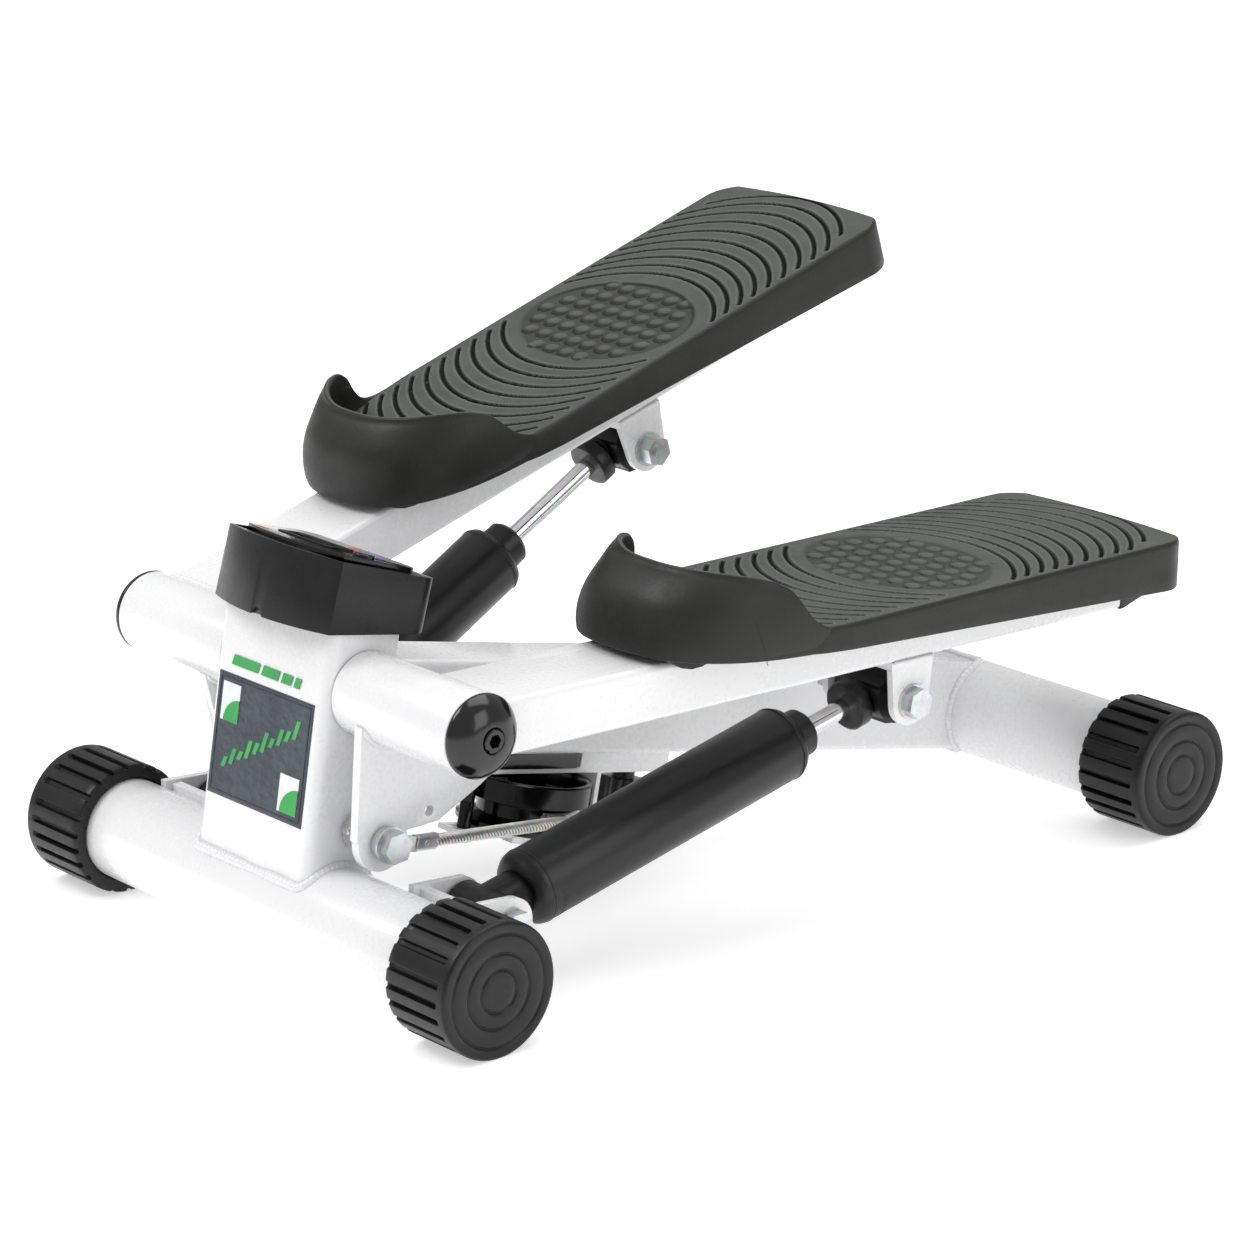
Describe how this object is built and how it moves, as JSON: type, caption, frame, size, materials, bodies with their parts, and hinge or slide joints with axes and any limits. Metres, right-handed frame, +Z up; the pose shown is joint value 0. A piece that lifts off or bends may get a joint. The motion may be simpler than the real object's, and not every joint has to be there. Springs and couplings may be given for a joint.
{
  "type": "mini stepper",
  "caption": "Mini stepper with swinging foot pedals, hydraulic cylinders and a cable drive on a low welded frame with a small console.",
  "frame": {"origin": "on the floor, midway between the two cross tubes, on the centre plane", "axes": "+Z up, +Y rearward towards the heels, +X to the left of the user, who faces -Y; the console is at -Y"},
  "size_m": [0.3096, 0.49, 0.2761],
  "materials": {
    "white_paint": "gloss white powder coat",
    "black_rubber": "semi-gloss moulded rubber",
    "black_plastic": "fine moulded texture",
    "gloss_black": "gloss",
    "pedal_plastic": "matte leather-grain moulding",
    "cylinder_paint": "satin black paint",
    "rod_end_plastic": "satin",
    "chrome_rod": "hard chrome",
    "zinc_steel": "bright zinc plate",
    "bush_plastic": "nylon",
    "display_window": "clear",
    "display_grey": "liquid crystal panel",
    "board_green": "solder mask",
    "label_print": "printed film"
  },
  "bodies": {
    "frame": {"front_cross_tube": "white_paint", "rear_cross_tube": "white_paint", "post": "white_paint", "main_beam": "white_paint", "front_left_foot": "black_rubber", "front_right_foot": "black_rubber", "rear_left_foot": "black_rubber", "rear_right_foot": "black_rubber", "pivot_axle": "zinc_steel", "axle_end_caps": "black_plastic", "axle_end_bolts": "gloss_black", "lower_cylinder_brackets": "white_paint", "lower_pivot_bolts": "zinc_steel", "pulley_bracket": "white_paint", "pulley_bolts": "zinc_steel", "bracket_spacer": "black_plastic", "cable_wrap": "zinc_steel", "console_housing": "black_plastic", "console_faceplate": "gloss_black", "console_lens": "display_window", "console_display": "display_grey", "console_board": "board_green", "console_battery": "zinc_steel", "front_label": "label_print"},
    "pulley": {"pulley_wheel": "black_plastic"},
    "mode_button": {"mode_button": "gloss_black"},
    "stride_knob": {"stride_knob": "black_plastic"},
    "left_arm": {"left_sleeve": "white_paint", "left_arm_tube": "white_paint", "left_lever_plate": "white_paint", "left_cylinder_bracket": "white_paint", "left_pedal": "pedal_plastic", "left_pedal_screws": "zinc_steel", "left_arm_plug": "black_plastic", "left_sleeve_bushes": "bush_plastic", "left_lever_bolt": "zinc_steel", "left_upper_pivot_bolt": "zinc_steel"},
    "left_cylinder": {"left_cylinder_tube": "cylinder_paint", "left_lower_eye": "rod_end_plastic"},
    "left_rod": {"left_piston_rod": "chrome_rod", "left_piston": "zinc_steel", "left_rod_end": "rod_end_plastic"},
    "left_cable_run": {"left_cable": "zinc_steel"},
    "right_arm": {"right_sleeve": "white_paint", "right_arm_tube": "white_paint", "right_lever_plate": "white_paint", "right_cylinder_bracket": "white_paint", "right_pedal": "pedal_plastic", "right_pedal_screws": "zinc_steel", "right_arm_plug": "black_plastic", "right_sleeve_bushes": "bush_plastic", "right_lever_bolt": "zinc_steel", "right_upper_pivot_bolt": "zinc_steel"},
    "right_cylinder": {"right_cylinder_tube": "cylinder_paint", "right_lower_eye": "rod_end_plastic"},
    "right_rod": {"right_piston_rod": "chrome_rod", "right_piston": "zinc_steel", "right_rod_end": "rod_end_plastic"},
    "right_cable_run": {"right_cable": "zinc_steel"}
  },
  "joints": [
    {"name": "left_arm_swing", "type": "hinge", "parent": "frame", "child": "left_arm", "pos_m": [0, -0.1948, 0.132], "axis": [1, 0, 0], "range_deg": [-2, 20.2]},
    {"name": "right_arm_swing", "type": "hinge", "parent": "frame", "child": "right_arm", "pos_m": [0, -0.1948, 0.132], "axis": [1, 0, 0], "range_deg": [-20.21, 2.01]},
    {"name": "left_cylinder_tilt", "type": "hinge", "parent": "frame", "child": "left_cylinder", "pos_m": [0.0925, -0.17165, 0.0382], "axis": [1, 0, 0], "range_deg": [-1.93, 19.45]},
    {"name": "left_rod_slide", "type": "slide", "parent": "left_cylinder", "child": "left_rod", "axis": [0, 0.9771, 0.2126], "range_m": [-0.00336, 0.03379]},
    {"name": "left_cable_pivot", "type": "hinge", "parent": "left_arm", "child": "left_cable_run", "pos_m": [0.0645, -0.20291, 0.07001], "axis": [0.9934, -0.0575, -0.0994], "range_deg": [-22.75, 2.25]},
    {"name": "right_cylinder_tilt", "type": "hinge", "parent": "frame", "child": "right_cylinder", "pos_m": [-0.0925, -0.17165, 0.0382], "axis": [1, 0, 0], "range_deg": [-19.1, 1.89]},
    {"name": "right_rod_slide", "type": "slide", "parent": "right_cylinder", "child": "right_rod", "axis": [0, 0.8691, 0.4946], "range_m": [-0.03358, 0.00334]},
    {"name": "right_cable_pivot", "type": "hinge", "parent": "right_arm", "child": "right_cable_run", "pos_m": [-0.0645, -0.18314, 0.07058], "axis": [0.9933, 0.019, 0.1141], "range_deg": [-2.29, 23.16]},
    {"name": "pulley_spin", "type": "hinge", "parent": "frame", "child": "pulley", "pos_m": [0, -0.07115, 0.0395], "axis": [0, 0.2096, 0.9778], "range_deg": [-4.08, 41.24]},
    {"name": "mode_button_press", "type": "slide", "parent": "frame", "child": "mode_button", "axis": [0, -0.3173, -0.9483], "range_m": [0, 0.001], "stiffness_N_per_m": 300},
    {"name": "stride_knob_turn", "type": "hinge", "parent": "frame", "child": "stride_knob", "pos_m": [0, -0.01199, 0.02682], "axis": [0, 0.2096, 0.9778], "range_deg": [-360, 360]}
  ],
  "couplings": [
    {"joint": "right_arm_swing", "follows": "left_arm_swing", "ratio": -1},
    {"joint": "left_cylinder_tilt", "follows": "left_arm_swing", "ratio": 0.96272},
    {"joint": "left_rod_slide", "follows": "left_arm_swing", "m_per_rad": 0.095779},
    {"joint": "left_cable_pivot", "follows": "left_arm_swing", "ratio": -1.1258},
    {"joint": "right_cylinder_tilt", "follows": "left_arm_swing", "ratio": -0.94559},
    {"joint": "right_rod_slide", "follows": "left_arm_swing", "m_per_rad": -0.095189},
    {"joint": "right_cable_pivot", "follows": "left_arm_swing", "ratio": 1.1462},
    {"joint": "pulley_spin", "follows": "left_arm_swing", "ratio": 2.0413}
  ]
}
